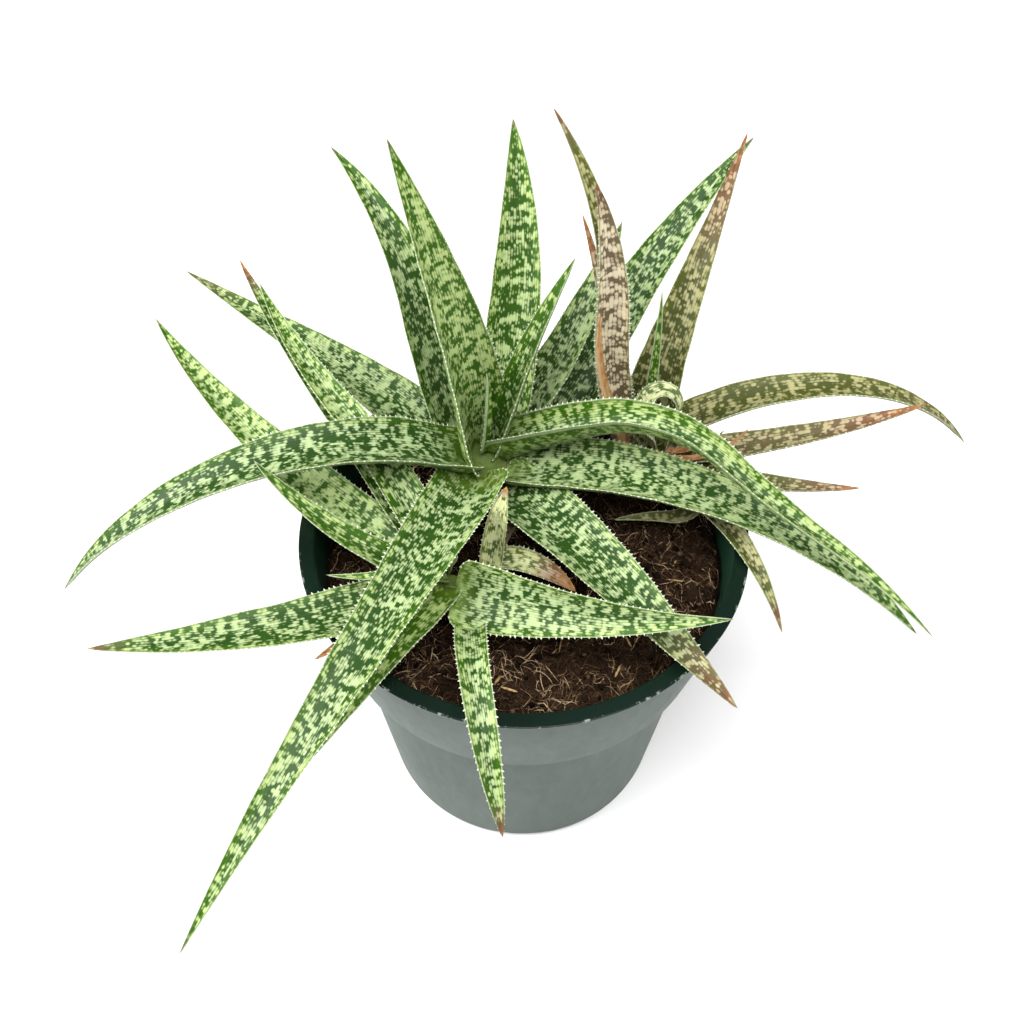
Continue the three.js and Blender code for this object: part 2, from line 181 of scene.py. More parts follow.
def wall_radius(height):
    """Radius of the outer wall at a height."""
    heights = (0, NECK_HEIGHT, COLLAR_FOOT, POT_HEIGHT)
    return np.interp(height, heights, (BASE_RADIUS, NECK_RADIUS, COLLAR_RADIUS, RIM_RADIUS))


def bore_radius(height):
    """Radius of the inner wall at a height."""
    heights = (FLOOR, NECK_HEIGHT + WALL, COLLAR_FOOT + WALL, POT_HEIGHT)
    radii = (wall_radius(FLOOR) - WALL, NECK_RADIUS - WALL, COLLAR_RADIUS - WALL, RIM_RADIUS - LIP_WIDTH)
    return np.interp(height, heights, radii)


def pot_plastic():
    """Satin dark green plastic: faint flow marks, a painted dark reflection on its lip's top, pale nicks
    round its lip and dust low down.
    """
    material, tree, shader = new_material("pot_plastic")
    where = put(tree, "TexCoord").outputs["Object"]
    x, y, height = put(tree, "SeparateXYZ", {0: where}).outputs
    radius = reckon(tree, "SQRT", plus(tree, times(tree, x, x), times(tree, y, y)))
    cloud = grain(tree, where, (0.03, 0.03, 0.05), 3)
    dust = grain(tree, where, (0.004, 0.004, 0.012), 4, 0.65)
    scratches = grain(tree, where, (0.0008, 0.0008, 0.02), 2)
    lip = ((POT_HEIGHT - 0.6) * MM, (POT_HEIGHT - 0.1) * MM)
    plain = mixed(tree, cloud, seen(20, 46, 32), seen(27, 53, 38))
    # The lip's top is painted darker: a painted dark reflection of the room overhead, not the plastic's
    # own colour.
    plain = mixed(tree, slope(tree, height, *lip), plain, seen(12, 27, 20))
    dusty = mixed(tree, times(tree, slope(tree, height, 0.05, 0), dust, 0.12), plain, seen(120, 128, 118))
    outermost = slope(tree, radius, (RIM_RADIUS - 0.9) * MM, (RIM_RADIUS - 0.5) * MM)
    uppermost = slope(tree, height, (POT_HEIGHT - 1) * MM, (POT_HEIGHT - 0.7) * MM)
    nicks = times(tree, outermost, uppermost, slope(tree, dust, 0.55, 0.62), 0.6)
    feed(tree, shader.inputs["Base Color"], mixed(tree, nicks, dusty, seen(150, 160, 150)))
    worn = plus(tree, times(tree, dust, 0.14), times(tree, cloud, 0.1))
    satin = slope(tree, height, *lip, 0.3, 0.12)
    feed(tree, shader.inputs["Roughness"], plus(tree, worn, satin))
    relief = plus(tree, times(tree, dust, 0.5), scratches)
    bump = put(tree, "Bump", {"Height": relief, "Strength": 0.12, "Distance": 0.0003})
    feed(tree, shader.inputs["Normal"], bump.outputs[0])
    shader.inputs["Specular IOR Level"].default_value = 0.21
    return material


def raise_nubs(points):
    """Swells the wall outward at each nub."""
    for angle, height in NUB_PLACES:
        around = math.radians(angle)
        outward = np.array([math.cos(around), math.sin(around), 0])
        along = (points - outward * wall_radius(height)) @ [-outward[1], outward[0], 0]
        outside = np.hypot(points[:, 0], points[:, 1]) > wall_radius(points[:, 2]) - WALL / 4
        swell = np.exp(-(along / NUB_WIDTH) ** 2 - ((points[:, 2] - height) / NUB_HEIGHT) ** 2) * outside
        points += np.outer(swell * NUB_RISE, outward)


def cut_notches(pot):
    """Cuts the drainage notches out of the foot."""
    cutters = []
    for count in range(NOTCHES):
        bpy.ops.mesh.primitive_cube_add(size=1)
        cutter = bpy.context.object
        cutter.scale = Vector((2 * NOTCH_DEPTH, NOTCH_WIDTH, 2 * NOTCH_HEIGHT)) * MM
        around = (count - 1) * 2 * math.pi / NOTCHES
        cutter.rotation_euler.z = around
        cutter.location = Vector((math.cos(around), math.sin(around), 0)) * BASE_RADIUS * MM
        bevel = cutter.modifiers.new("round", "BEVEL")
        bevel.width, bevel.segments = NOTCH_ROUNDING * MM, 3
        cut = pot.modifiers.new("notch", "BOOLEAN")
        cut.operation, cut.object, cut.solver = "DIFFERENCE", cutter, "EXACT"
        cutters.append(cutter)
    shape = bpy.data.meshes.new_from_object(pot.evaluated_get(bpy.context.evaluated_depsgraph_get()))
    pot.modifiers.clear()
    pot.data = shape
    pot.data.set_sharp_from_angle(angle=math.radians(POT_CREASE))
    for cutter in cutters:
        bpy.data.objects.remove(cutter)


def make_pot():
    """The whole pot, turned from its profile."""
    corners = [  # each with its bend
        ((0, 0), 0),
        ((BASE_RADIUS, 0), FOOT_ROUNDING),
        ((NECK_RADIUS, NECK_HEIGHT), 0.8),
        ((COLLAR_RADIUS, COLLAR_FOOT), 0.9),
        ((RIM_RADIUS, POT_HEIGHT), 0.5),
        ((RIM_RADIUS - LIP_WIDTH, POT_HEIGHT), 0.9),
        ((COLLAR_RADIUS - WALL, COLLAR_FOOT + WALL), 0.6),
        ((NECK_RADIUS - WALL, NECK_HEIGHT + WALL), 0.6),
        ((bore_radius(FLOOR), FLOOR), 2.0),
        ((0, FLOOR), 0),
    ]
    points, faces = turned(filleted(*zip(*corners)), POT_SIDES)
    raise_nubs(points)
    pot = piece_of("nursery_pot", points, faces, pot_plastic(), POT_CREASE)
    cut_notches(pot)
    return stands_for(pot, "pot")


make_pot()

# ------------------------------------------------------------------------------------ the soil
# Potting mix of dark coir: a lumpy bed 12 mm below the rim, covered with fine curly fibres,
# crumbs, chips of bark and a few straws. It is filled in loose and shrinks from the pot's wall.

SOIL_TOP, SOIL_GAP, BURIED_GAP, BURIED_LIFT = 117.5, 0.4, 0.5, 0.3
SOIL_REACH = bore_radius(SOIL_TOP) - SOIL_GAP
SOIL_RINGS, SOIL_SIDES = 100, 260
SWELLS = [(1.1, 21, (0, 0, 0)), (2.6, 6.5, (9, 4, 2))]  # height, width and place in the noise
CLODS = [(2.4, 2.6, (1, 7, 5)), (1.1, 1.2, (0, 0, 0))]
SINK, SINK_WIDTH = 4.5, 6
FIBRES, FIBRE_LENGTHS, FIBRE_RADII = 7000, (2.5, 13, 5), (0.05, 0.24, 0.08)  # least, most, usual
CRUMBS, CRUMB_SIZES, CRUMB_ROWS, CRUMB_SIDES = 2200, (0.3, 2.0, 0.5), 4, 7
STRAWS, STRAW_STEPS = 40, 4


def soil_height(x, y):
    """Height of the bed at a place: broad swells and small clods, sunk along the wall."""
    at = Vector((x, y, 0))
    lumps = sum(high * noise.noise(at / wide + Vector(place)) for high, wide, place in SWELLS + CLODS)
    edge = max(0.0, math.hypot(x, y) - SOIL_REACH + SINK_WIDTH) / SINK_WIDTH
    return SOIL_TOP + lumps - SINK * edge**2


def coir(name, tones, fine):
    """Coir and peat: dark, dull and fibrous. The mesh's own tint goes from dark to pale."""
    material, tree, shader = new_material(name)
    where = put(tree, "TexCoord").outputs["Object"]
    tint = put(tree, "Attribute", attribute_name="tint").outputs["Fac"]
    cloud = grain(tree, where, (fine * 8, fine * 8, fine * 8), 4, 0.7)
    threads = grain(tree, where, (fine, fine, fine), 3, 0.7)
    dark, middle, pale = tones
    share = plus(tree, times(tree, cloud, 0.7), times(tree, tint, 0.5))
    colour = mixed(tree, slope(tree, share, 0.3, 0.6), dark, middle)
    palest = slope(tree, times(tree, tint, plus(tree, threads, 0.5)), 0.55, 1.0)
    colour = mixed(tree, palest, colour, pale)
    # Painted shade: the colour goes near black where the fine threads' relief is lowest, in its hollows.
    colour = mixed(tree, slope(tree, threads, 0.5, 0.34, 0.0, 0.6), colour, seen(14, 10, 7))
    feed(tree, shader.inputs["Base Color"], colour)
    shader.inputs["Roughness"].default_value = 0.9
    shader.inputs["Specular IOR Level"].default_value = 0.06
    relief = plus(tree, threads, times(tree, cloud, 1.5))
    bump = put(tree, "Bump", {"Height": relief, "Strength": 0.8, "Distance": fine})
    feed(tree, shader.inputs["Normal"], bump.outputs[0])
    return material


def tinted(piece, tints):
    """Gives each point of a piece its tint, for the material to read."""
    layer = piece.data.attributes.new("tint", "FLOAT", "POINT")
    layer.data.foreach_set("value", np.asarray(tints, np.float32))
    return piece


def soil_bed(stuff):
    """The plug of mix that fills the pot, with its lumpy face."""
    points, tints = [(0, 0, soil_height(0, 0))], [0.4]
    angles = [side * 2 * math.pi / SOIL_SIDES for side in range(SOIL_SIDES)]
    for ring in range(1, SOIL_RINGS + 1):
        radius = SOIL_REACH * ring / SOIL_RINGS
        for angle in angles:
            x, y = radius * math.cos(angle), radius * math.sin(angle)
            points.append((x, y, soil_height(x, y)))
            tints.append(0.35 + 0.3 * noise.noise(Vector((x, y, 3)) / 9))
    buried = (COLLAR_FOOT + WALL, NECK_HEIGHT + WALL, FLOOR)
    for height in (inner + BURIED_LIFT for inner in buried):
        radius = bore_radius(height) - BURIED_GAP
        points += [(radius * math.cos(a), radius * math.sin(a), height) for a in angles]
        tints += [0.1] * SOIL_SIDES
    points.append((0, 0, FLOOR + BURIED_LIFT))
    tints.append(0.1)
    faces = []
    for side in range(SOIL_SIDES):
        after = (side + 1) % SOIL_SIDES
        faces.append((0, 1 + side, 1 + after))
        for ring in range(SOIL_RINGS - 1 + len(buried)):
            low, high = 1 + ring * SOIL_SIDES, 1 + (ring + 1) * SOIL_SIDES
            faces.append((low + side, high + side, high + after, low + after))
        faces.append((high + side, len(points) - 1, high + after))
    bed = piece_of("soil_bed", points, faces, stuff)
    return stands_for(tinted(bed, tints), "soil")


def thread(path, radius, sides):
    """Points and faces of a thin closed strand along a path, narrower at its ends."""
    path = [Vector(point) for point in path]
    points, faces = [], []
    last = len(path) - 1
    for i, point in enumerate(path):
        ahead = (path[min(i + 1, last)] - path[max(i - 1, 0)]).normalized()
        across = ahead.cross(Vector((0, 0, 1))).normalized()
        upward = across.cross(ahead)
        girth = radius * (0.35 if i in (0, last) else 1)
        for side in range(sides):
            turn = side * 2 * math.pi / sides
            points.append(point + (across * math.cos(turn) + upward * math.sin(turn)) * girth)
    for i in range(last):
        here, there = i * sides, (i + 1) * sides
        for side in range(sides):
            after = (side + 1) % sides
            faces.append((here + side, here + after, there + after, there + side))
    faces.append(tuple(range(sides - 1, -1, -1)))
    faces.append(tuple(range(last * sides, len(path) * sides)))
    return points, faces


def gathered(name, bits, stuff):
    """One piece of many small closed bits, each with its own tint."""
    points, faces, tints = [], [], []
    for bit_points, bit_faces, tint in bits:
        start = len(points)
        points += [tuple(point) for point in bit_points]
        faces += [tuple(start + corner for corner in face) for face in bit_faces]
        tints += [tint] * len(bit_points)
    return stands_for(tinted(piece_of(name, points, faces, stuff), tints), None)


def somewhere(draw, margin):
    """A place on the bed, even over its whole face."""
    radius, angle = (SOIL_REACH - margin) * math.sqrt(draw.random()), draw.uniform(0, 2 * math.pi)
    return radius * math.cos(angle), radius * math.sin(angle)


def curly_fibres(draw, stuff):
    """Loose fibres that wander over the bed, arched or tilted, and turn back at the wall."""
    bits = []
    for _ in range(FIBRES):
        x, y = somewhere(draw, 1.5)
        length = draw.triangular(*FIBRE_LENGTHS)
        steps = 2 + round(length / 3.2)
        heading, curl = draw.uniform(0, 2 * math.pi), draw.gauss(0, 0.2)
        arch, tilt = draw.uniform(0.1, 1.5) * min(1, length / 8), draw.gauss(0, 0.9)
        path = []
        for step in range(steps + 1):
            share = step / steps
            lift = arch * math.sin(math.pi * share) + 0.2 + tilt * (share - 0.5)
            path.append((x, y, soil_height(x, y) * 0.8 + SOIL_TOP * 0.2 + max(0, lift)))
            curl += draw.gauss(0, 0.16)
            heading += curl
            ahead = length / steps
            if math.hypot(x + ahead * math.cos(heading), y + ahead * math.sin(heading)) > SOIL_REACH - 1:
                heading += math.pi * 0.6
            x, y = x + ahead * math.cos(heading), y + ahead * math.sin(heading)
            if math.hypot(x, y) > SOIL_REACH - 0.6:
                break
        if len(path) > 2:
            strand = thread(path, draw.triangular(*FIBRE_RADII), 3)
            bright = 0.85 + 1.2 * noise.noise(Vector((x, y, 5)) / 8)
            bits.append((*strand, min(1, draw.random() * max(0.3, bright))))
    return gathered("coir_fibres", bits, stuff)


def crumb(draw, size):
    """Points and faces of a small uneven lump."""
    flat = draw.uniform(0.35, 0.9)
    turn, stretch = draw.uniform(0, math.pi), draw.uniform(0.5, 1)
    points = []
    for row in range(1, CRUMB_ROWS):
        lean = math.pi * row / CRUMB_ROWS
        for side in range(CRUMB_SIDES):
            angle = side * 2 * math.pi / CRUMB_SIDES + row * 0.4
            reach = size * math.sin(lean) * draw.uniform(0.75, 1.15)
            a, b = reach * math.cos(angle), reach * math.sin(angle) * stretch
            rise = size * flat * math.cos(lean) * draw.uniform(0.8, 1.1)
            x, y = a * math.cos(turn) - b * math.sin(turn), a * math.sin(turn) + b * math.cos(turn)
            points.append((x, y, rise))
    points += [(0, 0, size * flat), (0, 0, -size * flat)]
    faces, top, bottom = [], len(points) - 2, len(points) - 1
    lowest = (CRUMB_ROWS - 2) * CRUMB_SIDES
    for side in range(CRUMB_SIDES):
        after = (side + 1) % CRUMB_SIDES
        faces.append((top, side, after))
        for high in range(0, lowest, CRUMB_SIDES):
            low = high + CRUMB_SIDES
            faces.append((high + side, low + side, low + after, high + after))
        faces.append((bottom, lowest + after, lowest + side))
    return points, faces


def crumbs_and_chips(draw, stuff):
    """Crumbs of mix and chips of bark, half sunk in the bed."""
    bits = []
    for _ in range(CRUMBS):
        x, y = somewhere(draw, 2)
        size = draw.triangular(*CRUMB_SIZES)
        points, faces = crumb(draw, size)
        base = soil_height(x, y) + 0.2 * size
        points = [(x + a, y + b, base + c) for a, b, c in points]
        bits.append((points, faces, draw.random() ** 2 * 0.9))
    return gathered("coir_crumbs", bits, stuff)


def straws(draw, stuff):
    """Pale slivers of straw and husk lying on the mix."""
    bits = []
    for _ in range(STRAWS):
        x, y = somewhere(draw, 9)
        heading, length = draw.uniform(0, math.pi), draw.uniform(3, 9)
        lean = draw.uniform(-0.8, 1.2)
        path = []
        for step in range(STRAW_STEPS + 1):
            share = step / STRAW_STEPS - 0.5
            a, b = x + length * share * math.cos(heading), y + length * share * math.sin(heading)
            path.append((a, b, soil_height(x, y) + 0.9 + lean * share))
        bits.append((*thread(path, draw.uniform(0.22, 0.5), 5), draw.uniform(0.5, 1)))
    return gathered("straw_slivers", bits, stuff)


mix = coir("potting_mix", (seen(8, 5, 3), seen(44, 31, 21), seen(100, 78, 57)), 0.0007)
fibre = coir("coir_fibre", (seen(34, 24, 16), seen(86, 64, 45), seen(196, 168, 132)), 0.0005)
straw = coir("straw", (seen(130, 98, 62), seen(170, 138, 92), seen(205, 178, 130)), 0.0012)
soil_bed(mix)
curly_fibres(random.Random(11), fibre)
crumbs_and_chips(random.Random(23), mix)
straws(random.Random(31), straw)

# ----------------------------------------------------------------------------------- the stems
# Each rosette's short woody stem, wrapped in the brown papery remains of old leaf sheaths. It
# stands in the mix and carries its leaves. The smallest is a young side shoot's.

STEMS = {  # each stem's place, radius and the heights of its crown and of its root's end
    "main": ((-14, 26), 8.5, 140, 92),
    "front": ((-24, -22), 5.5, 130, 98),
    "rear": ((41, 38), 6.5, 131, 96),
    "pup": ((-12, -8), 3, 124, 104),
}
ROOT_TOP = SOIL_TOP - 4
SCAR_STEP, STEM_STEPS, STEM_SIDES = 2.2, 60, 64


def papery_stem():
    """Brown fibrous paper, fresh yellow green where the tint tells of living sheaths."""
    material, tree, shader = new_material("stem")
    where = put(tree, "TexCoord").outputs["Object"]
    fibres = grain(tree, where, (0.0008, 0.0008, 0.009), 3)
    stains = grain(tree, where, (0.005, 0.005, 0.004), 3)
    colour = mixed(tree, slope(tree, stains, 0.35, 0.65), seen(112, 84, 55), seen(176, 158, 112))
    colour = mixed(tree, slope(tree, fibres, 0.55, 0.4, 0.0, 0.6), colour, seen(66, 48, 33))
    living = put(tree, "Attribute", attribute_name="tint").outputs["Fac"]
    fresh = mixed(tree, stains, seen(58, 80, 22), seen(100, 118, 50))
    feed(tree, shader.inputs["Base Color"], mixed(tree, living, colour, fresh))
    shader.inputs["Roughness"].default_value = 0.8
    bump = put(tree, "Bump", {"Height": fibres, "Strength": 0.5, "Distance": 0.0006})
    feed(tree, shader.inputs["Normal"], bump.outputs[0])
    return material


def make_stem(rosette, place, radius, crown, root, paper):
    """A tapered root, the ringed stem and its rounded crown, with a ragged edge at each scar."""
    profile = [(0, root)]
    for step in range(STEM_STEPS):
        share = (step + 0.5) / STEM_STEPS
        height = root + (crown - root) * share
        if height < ROOT_TOP:
            girth = radius * (0.45 + 0.55 * (height - root) / (ROOT_TOP - root))
        else:
            girth = radius * (1 - 0.55 * max(0, (height - crown + radius) / radius) ** 1.5)
        scar = (height / SCAR_STEP) % 1
        profile.append((girth * (0.93 + 0.07 * scar), height))
    profile.append((0, crown))
    points, faces = turned(profile, STEM_SIDES)
    for point in points:
        rough = 1 + 0.05 * noise.noise(Vector(point) / 2.1) * (point[2] < crown)
        point[:2] = point[:2] * rough + place
    living = [min(1, max(0, (point[2] - crown + 1.4 * radius) / radius)) for point in points]
    stem = tinted(piece_of(rosette + "_leafy_stem", points, faces, paper), living)
    return stands_for(stem, rosette + "_stem")


sheath_paper = papery_stem()
for rosette, measures in STEMS.items():
    make_stem(rosette, *measures, sheath_paper)

# ------------------------------------------------------------- the leaves of the main rosette
# Long fleshy channelled blades that clasp the stem with pale bases and taper to a point, green
# with crowded cream flecks in rows along the blade, a pale margin and white teeth down both
# edges. The largest rosette has thirteen. They hold by their sheaths.

RING_STEP, TOP_POINTS, UNDER_POINTS = 1.5, 27, 15
WIDEST_AT, FULLNESS, TAPER, BASE_SHARE = 0.22, 1.8, 0.9, 0.9
FOLD, SHEATH_FOLD, SHEATH_END = 0.36, 0.4, 0.14
EDGE, BASE_ROUNDING, ROUNDED_SHARE, ROUNDED_WIDTH = 0.45, 7, 0.06, 0.25
TOOTH_STEP, TOOTH_HEIGHT, TOOTH_BASE, TOOTH_THICKNESS, TOOTH_LEAN = 2.3, 0.8, 0.95, 0.48, 0.4
TOOTH_SIDES = 5
TOOTH_RINGS = [(-0.35, 1.15, 0.0), (0.05, 0.95, 0.55), (0.55, 0.42, 1.0)]  # rise, girth, whiteness
FLECK_ROW, DASH, PATCH, BAND = 0.85, 2.1, (2.8, 2.2), (3, 6.5)
UNCHANGED = 1000  # a grain so long that its noise doesn't change along that axis
LEAF_STRETCH, UNDER_STRETCH = 400, 200  # how far apart leaves, and their undersides, read the noise
leaf_seeds = itertools.count(60)


def new_group(name, inputs, outputs):
    """An empty node group with named sockets, and its own input and output nodes."""
    tree = bpy.data.node_groups.new(name, "ShaderNodeTree")
    for direction, sockets in (("INPUT", inputs), ("OUTPUT", outputs)):
        for label, kind in sockets.items():
            tree.interface.new_socket(name=label, in_out=direction, socket_type="NodeSocket" + kind)
    return tree, tree.nodes.new("NodeGroupInput").outputs, tree.nodes.new("NodeGroupOutput").inputs


def use_group(tree, group, feeds):
    """Adds a node group with its feeds and gives its outputs."""
    node = put(tree, "Group", node_tree=group)
    for socket, value in feeds.items():
        feed(tree, node.inputs[socket], value)
    return node.outputs


def fleck_group():
    """Cream flecks in rows along the blade, run together in patches and cross bands."""
    sockets = {"Blade": "Vector", "Cover": "Float", "Row": "Float"}
    tree, given, result = new_group("pale_flecks", sockets, {"Pale": "Float", "Tint": "Float"})
    blade = given["Blade"]
    along, across, _ = put(tree, "SeparateXYZ", {0: blade}).outputs
    wander = times(tree, grain(tree, blade, (16, 7, UNCHANGED), 1), 2.4)
    rows = plus(tree, reckon(tree, "DIVIDE", across, given["Row"]), wander)
    row = reckon(tree, "FLOOR", rows)
    uneven = put(tree, "TexWhiteNoise", {"W": row}, noise_dimensions="1D").outputs[0]
    shifted = plus(tree, along, times(tree, uneven, 1.8))
    stepped = put(tree, "CombineXYZ", {0: shifted, 1: times(tree, row, given["Row"])}).outputs[0]
    patches = grain(tree, stepped, (*PATCH, 1), 1)
    bands = grain(tree, blade, (*BAND, UNCHANGED), 1)
    moved = plus(tree, reckon(tree, "DIVIDE", along, DASH), times(tree, row, 7.31))
    own_row = put(tree, "CombineXYZ", {0: moved, 1: times(tree, row, 3.71)}).outputs[0]
    dashes = put(tree, "TexNoise", {"Vector": own_row, "Scale": 1.0, "Detail": 1.0}).outputs[0]
    total = plus(tree, times(tree, patches, 0.28), times(tree, bands, 0.38), times(tree, dashes, 0.46))
    off_middle = reckon(tree, "ABSOLUTE", reckon(tree, "SUBTRACT", reckon(tree, "FRACT", rows), 0.5))
    narrowed = times(tree, reckon(tree, "POWER", off_middle, 2.0), 0.26)
    level = slope(tree, given["Cover"], 0.0, 1.0, 0.69, 0.41)
    excess = reckon(tree, "SUBTRACT", reckon(tree, "SUBTRACT", total, narrowed), level)
    feed(tree, result["Pale"], slope(tree, excess, -0.035, 0.035))
    feed(tree, result["Tint"], slope(tree, excess, 0.0, 0.12))
    return tree


def drying_group():
    """Where a leaf dies back: olive, then dull brown, then orange brown and straw."""
    sockets = {"Blade": "Vector", "Dryness": "Float"}
    tree, given, result = new_group("dying_back", sockets, {"Colour": "Color", "Cover": "Float"})
    stain = grain(tree, given["Blade"], (5, 1.8, UNCHANGED), 3, 0.6)
    dry = times(tree, given["Dryness"], slope(tree, stain, 0.2, 0.8, 0.7, 1.3))
    ramp = put(tree, "ValToRGB", {0: dry})
    stops = ramp.color_ramp.elements
    stops[0].color, stops[1].color = seen(84, 92, 52), seen(176, 150, 112)
    browns = {0.3: (98, 84, 62), 0.5: (98, 70, 50), 0.7: (142, 92, 50), 0.88: (174, 126, 74)}
    for place, brown in browns.items():
        stops.new(place).color = seen(*brown)
    feed(tree, result["Colour"], ramp.outputs[0])
    feed(tree, result["Cover"], slope(tree, dry, 0.02, 0.6))
    return tree


def leaf_skin(name, deep, rich, cream, warm_cream, row=FLECK_ROW):
    """A leaf's skin, from its deep and rich greens and its cool and warm creams, richer near the margins
    as painted light through the thin edges.
    """
    material, tree, shader = new_material(name)
    blade, place, state = (
        put(tree, "Attribute", attribute_name=label).outputs["Vector"]
        for label in ("blade", "place", "state")
    )
    margin = put(tree, "SeparateXYZ", {0: blade}).outputs[2]
    share, _, tooth = put(tree, "SeparateXYZ", {0: place}).outputs
    tone, cover, dryness = put(tree, "SeparateXYZ", {0: state}).outputs
    tip_cover = reckon(tree, "SUBTRACT", cover, slope(tree, share, 0.85, 1.0, 0.0, 0.1))
    flecks = use_group(tree, flecking, {"Blade": blade, "Cover": tip_cover, "Row": row})
    dying = use_group(tree, drying, {"Blade": blade, "Dryness": dryness})
    cloud = grain(tree, blade, (18, 6, UNCHANGED), 2)
    # Painted light: towards the margins the green turns rich and the cream warm, as if lit through the
    # thin edges; the cloud and each leaf's own tone vary it too.
    edge_glow = slope(tree, margin, 3.2, 0.6)
    lively = slope(tree, plus(tree, times(tree, edge_glow, 0.45), times(tree, cloud, 0.5), tone), 0.0, 1.0)
    green = mixed(tree, lively, deep, rich)
    patch = mixed(tree, lively, cream, warm_cream)
    patch = mixed(tree, slope(tree, flecks["Tint"], 0.0, 1.0, 0.34, 0.0), patch, green)
    patch = mixed(tree, slope(tree, dryness, 0.15, 0.6), patch, seen(176, 154, 128))
    fleck = times(tree, flecks["Pale"], slope(tree, margin, 0.2, 0.8, 0.3, 1.0))
    skin = mixed(tree, fleck, green, patch)
    sheath = times(tree, slope(tree, share, 0.1, 0.0), 0.55)
    skin = mixed(tree, sheath, skin, seen(104, 130, 40))
    edge_line = times(tree, slope(tree, margin, 0.28, 0.1), 0.4)
    skin = mixed(tree, edge_line, skin, seen(206, 216, 178))
    held_back = times(tree, flecks["Pale"], slope(tree, dryness, 0.45, 0.95, 0.8, 0.1))
    taken = times(tree, dying["Cover"], reckon(tree, "SUBTRACT", 1.0, held_back))
    skin = mixed(tree, taken, skin, dying["Colour"])
    skin = mixed(tree, tooth, skin, seen(212, 218, 190))
    feed(tree, shader.inputs["Base Color"], skin)
    dull = plus(tree, times(tree, flecks["Pale"], 0.08), times(tree, dying["Cover"], 0.25), 0.4)
    feed(tree, shader.inputs["Roughness"], dull)
    veins = grain(tree, blade, (14, 0.5, UNCHANGED), 2)
    relief = plus(tree, veins, times(tree, flecks["Pale"], 0.25))
    bump = put(tree, "Bump", {"Height": relief, "Strength": 0.3, "Distance": 0.0004})
    feed(tree, shader.inputs["Normal"], bump.outputs[0])
    shader.inputs["Specular IOR Level"].default_value = 0.18
    shader.inputs["Coat Weight"].default_value = 0.02
    shader.inputs["Coat Roughness"].default_value = 0.3
    return material


def run_of(values, shares):
    """The values at shares of a run whose given values stand at even steps."""
    if len(values) == 1:
        return np.full(len(shares), float(values[0]))
    return np.interp(shares, np.linspace(0, 1, len(values)), values)


def headings(turn, rise):
    """Unit vectors from compass angles and slopes."""
    turn, rise = np.radians(turn), np.radians(rise)
    return np.c_[np.cos(rise) * np.cos(turn), np.cos(rise) * np.sin(turn), np.sin(rise)]


def wavy(shares, length, seed, size):
    """A gentle wave along a leaf, -1 to 1."""
    return np.array([noise.noise(Vector((share * length / size, seed * 5.3, 0.7))) for share in shares])


def blade_frames(leaf, rings, seed):
    """The middle of each cross ring, with its directions, half width, fold and thickness."""
    shares = np.linspace(0, 1, rings + 1)
    middles = (shares[1:] + shares[:-1]) / 2
    steps = headings(run_of(leaf.turn, middles), run_of(leaf.rise, middles)) * leaf.length / rings
    height, out, *compass = leaf.seat
    around = math.radians(compass[0] if compass else leaf.turn[0])
    (x, y), *_ = STEMS[leaf.rosette]
    start = np.array([x + out * math.cos(around), y + out * math.sin(around), height])
    middle = start + np.vstack([np.zeros(3), np.cumsum(steps, axis=0)])
    turn = run_of(leaf.turn, shares)
    ahead = headings(turn, run_of(leaf.rise, shares))
    side = np.c_[-np.sin(np.radians(turn)), np.cos(np.radians(turn)), np.zeros(rings + 1)]
    roll = np.radians(run_of(leaf.roll, shares))[:, None]
    side = side * np.cos(roll) + np.cross(ahead, side) * np.sin(roll)
    opening = np.minimum(shares / WIDEST_AT, 1)
    opening = BASE_SHARE + (1 - BASE_SHARE) * opening**2 * (3 - 2 * opening)
    half = leaf.width / 2 * opening * np.maximum(1 - shares**leaf.fullness, 0) ** TAPER
    rounding = min(BASE_ROUNDING, ROUNDED_SHARE * leaf.length)
    rounded = np.sqrt(1 - np.maximum(1 - shares * leaf.length / rounding, 0) ** 2)
    half = half * (ROUNDED_WIDTH + (1 - ROUNDED_WIDTH) * rounded)
    thick = np.minimum(leaf.thickness + (1 - leaf.thickness) * shares, 0.15 + half * 0.95)
    half = half * (1 + 0.03 * wavy(shares, leaf.length, seed, 9))
    lift = [wavy(shares, leaf.length, seed + k, 11) * 0.5 * np.minimum(half / 6, 1) for k in (1, 2)]
    fold = run_of(leaf.fold, shares) + SHEATH_FOLD * np.maximum(0, 1 - shares / SHEATH_END) ** 2
    return SimpleNamespace(
        shares=shares, middle=middle, ahead=ahead, side=side, up=np.cross(ahead, side),
        half=half, fold=fold, thick=thick, lift=lift, edge=np.minimum(EDGE, thick),
    )


